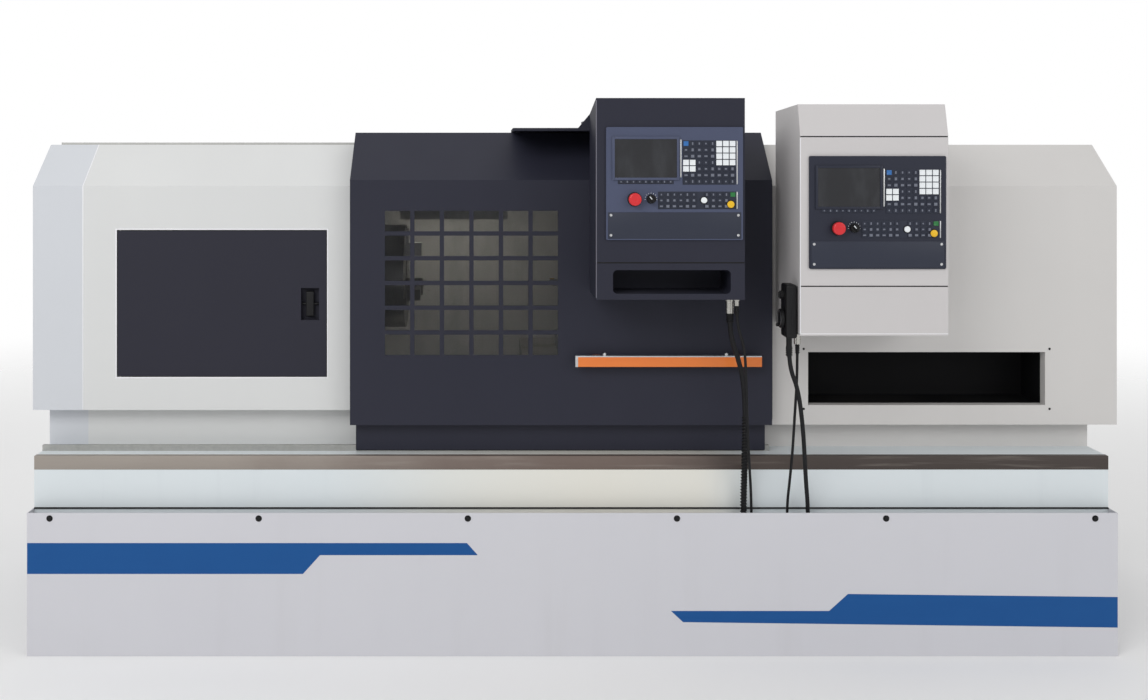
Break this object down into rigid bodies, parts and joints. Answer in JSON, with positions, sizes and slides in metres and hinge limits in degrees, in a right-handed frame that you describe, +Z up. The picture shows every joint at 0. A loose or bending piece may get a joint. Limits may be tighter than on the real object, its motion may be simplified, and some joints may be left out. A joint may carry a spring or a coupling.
{
  "type": "cnc turning lathe",
  "caption": "Enclosed flat-bed turning lathe with a sliding door, twin operator consoles, chip tray, spindle chuck, tool turret and tailstock.",
  "frame": {"origin": "on the floor, at the centre of the four floor anchor holes", "axes": "+X along the bed from the headstock to the tailstock, +Z up, the door and consoles face -Y"},
  "size_m": [3.704, 1.732, 1.8326],
  "materials": {
    "white_paint": "satin powder coat",
    "dark_paint": "satin powder coat",
    "tray_paint": "satin paint",
    "black_paint": "matt paint",
    "orange_paint": "gloss paint",
    "panel_paint": "fine satin paint",
    "machine_iron": "painted casting with ground ways",
    "ground_steel": "ground",
    "zinc_steel": "zinc plated",
    "screen_glass": "dark display cover, switched off",
    "window_glass": "laminated safety glass",
    "key_plastic": "membrane key sheet with some white keys",
    "blue_film": "adhesive stripe film",
    "black_plastic": "fine grain",
    "red_plastic": "moulded gloss",
    "belt_rubber": "matt",
    "grey_rubber": "matt cable sheath",
    "black_rubber": "matt cable sheath"
  },
  "bodies": {
    "machine": {"access_hinge_pins": "zinc_steel", "base_frame": "white_paint", "bed": "machine_iron", "cable_entry_box": "tray_paint", "chip_tray": "tray_paint", "chute_liner": "black_paint", "console_arm": "dark_paint", "dark_connectors": "zinc_steel", "dark_console": "dark_paint", "dark_keypad": "key_plastic", "dark_main_cable": "grey_rubber", "dark_panel": "panel_paint", "dark_screen": "screen_glass", "dark_thin_cable": "black_rubber", "door_rails": "zinc_steel", "drive_belt": "belt_rubber", "drive_cabinet": "white_paint", "end_cover": "white_paint", "front_skirt": "white_paint", "headstock_casing": "machine_iron", "headstock_cover": "white_paint", "light_connectors": "zinc_steel", "light_console": "white_paint", "light_keypad": "key_plastic", "light_panel": "panel_paint", "light_screen": "screen_glass", "light_thin_cable": "grey_rubber", "pendant": "black_plastic", "pendant_cable": "black_rubber", "rear_cover": "white_paint", "right_cover": "white_paint", "skirt_screws": "black_plastic", "spindle_bearings": "ground_steel", "spindle_motor": "black_paint", "z_servo_motor": "black_paint"},
    "spindle": {"spindle": "ground_steel", "spindle_pulley": "machine_iron", "chuck_body": "ground_steel"},
    "motor_rotor": {"motor_pulley": "machine_iron"},
    "jaw_1": {"chuck_jaw_1": "ground_steel"},
    "jaw_2": {"chuck_jaw_2": "ground_steel"},
    "jaw_3": {"chuck_jaw_3": "ground_steel"},
    "carriage": {"saddle": "machine_iron"},
    "cross_slide": {"cross_slide": "machine_iron"},
    "turret": {"tool_turret": "ground_steel", "turning_tools": "ground_steel"},
    "z_screw": {"z_screw": "ground_steel"},
    "tailstock": {"tailstock": "machine_iron"},
    "quill": {"quill": "ground_steel"},
    "live_centre": {"live_centre": "ground_steel"},
    "handwheel": {"tailstock_handwheel": "machine_iron"},
    "access_door": {"access_door": "dark_paint"},
    "sliding_door": {"sliding_door": "dark_paint", "door_window": "window_glass", "door_handle": "orange_paint"},
    "dark_estop": {"dark_estop": "red_plastic"},
    "dark_mode_knob": {"dark_mode_knob": "black_plastic"},
    "light_estop": {"light_estop": "red_plastic"},
    "light_mode_knob": {"light_mode_knob": "black_plastic"},
    "pendant_wheel": {"pendant_wheel": "black_plastic"}
  },
  "joints": [
    {"name": "spindle_spin", "type": "hinge", "parent": "machine", "child": "spindle", "pos_m": [-0.9, 0.15, 1.18], "axis": [1, 0, 0], "continuous": true},
    {"name": "motor_spin", "type": "hinge", "parent": "machine", "child": "motor_rotor", "pos_m": [-1.535, 0.62, 0.724], "axis": [1, 0, 0], "continuous": true},
    {"name": "jaw_1_slide", "type": "slide", "parent": "spindle", "child": "jaw_1", "axis": [0, 0, 1], "range_m": [-0.02, 0.02]},
    {"name": "jaw_2_slide", "type": "slide", "parent": "spindle", "child": "jaw_2", "axis": [0, -0.866, -0.5], "range_m": [-0.02, 0.02]},
    {"name": "jaw_3_slide", "type": "slide", "parent": "spindle", "child": "jaw_3", "axis": [0, 0.866, -0.5], "range_m": [-0.02, 0.02]},
    {"name": "z_screw_turn", "type": "hinge", "parent": "machine", "child": "z_screw", "pos_m": [0.4, -0.205, 0.7], "axis": [1, 0, 0], "range_deg": [-9000, 9000]},
    {"name": "carriage_slide", "type": "slide", "parent": "machine", "child": "carriage", "axis": [1, 0, 0], "range_m": [-0.25, 0.25]},
    {"name": "cross_slide_move", "type": "slide", "parent": "carriage", "child": "cross_slide", "axis": [0, 1, 0], "range_m": [-0.12, 0.08]},
    {"name": "turret_index", "type": "hinge", "parent": "cross_slide", "child": "turret", "pos_m": [0.1, -0.09, 1.18], "axis": [0, 0, 1], "continuous": true},
    {"name": "tailstock_slide", "type": "slide", "parent": "machine", "child": "tailstock", "axis": [1, 0, 0], "range_m": [-0.05, 0.3]},
    {"name": "handwheel_turn", "type": "hinge", "parent": "tailstock", "child": "handwheel", "pos_m": [1.42, 0.15, 1.18], "axis": [1, 0, 0], "range_deg": [0, 7200]},
    {"name": "quill_slide", "type": "slide", "parent": "tailstock", "child": "quill", "axis": [-1, 0, 0], "range_m": [0, 0.1]},
    {"name": "live_centre_spin", "type": "hinge", "parent": "quill", "child": "live_centre", "pos_m": [0.8, 0.15, 1.18], "axis": [1, 0, 0], "continuous": true},
    {"name": "access_door_swing", "type": "hinge", "parent": "machine", "child": "access_door", "pos_m": [-1.536, -0.501, 1.146], "axis": [0, 0, -1], "range_deg": [0, 110]},
    {"name": "door_slide", "type": "slide", "parent": "machine", "child": "sliding_door", "axis": [1, 0, 0], "range_m": [-1.05, 0]},
    {"name": "dark_estop_press", "type": "slide", "parent": "machine", "child": "dark_estop", "axis": [0, 1, 0], "range_m": [0, 0.005], "stiffness_N_per_m": 800},
    {"name": "dark_mode_turn", "type": "hinge", "parent": "machine", "child": "dark_mode_knob", "pos_m": [0.234, -0.856, 1.515], "axis": [0, 1, 0], "range_deg": [-60, 60]},
    {"name": "light_estop_press", "type": "slide", "parent": "machine", "child": "light_estop", "axis": [0, 1, 0], "range_m": [0, 0.005], "stiffness_N_per_m": 800},
    {"name": "light_mode_turn", "type": "hinge", "parent": "machine", "child": "light_mode_knob", "pos_m": [0.872, -0.856, 1.424], "axis": [0, 1, 0], "range_deg": [-60, 60]},
    {"name": "pendant_wheel_turn", "type": "hinge", "parent": "machine", "child": "pendant_wheel", "pos_m": [0.65, -0.79, 1.132], "axis": [1, 0, 0], "continuous": true}
  ],
  "couplings": [
    {"joint": "motor_spin", "follows": "spindle_spin", "ratio": 1.75},
    {"joint": "jaw_2_slide", "follows": "jaw_1_slide", "ratio": 1},
    {"joint": "jaw_3_slide", "follows": "jaw_1_slide", "ratio": 1},
    {"joint": "z_screw_turn", "follows": "carriage_slide", "rad_per_m": 628.32},
    {"joint": "handwheel_turn", "follows": "quill_slide", "rad_per_m": 1256.6}
  ]
}
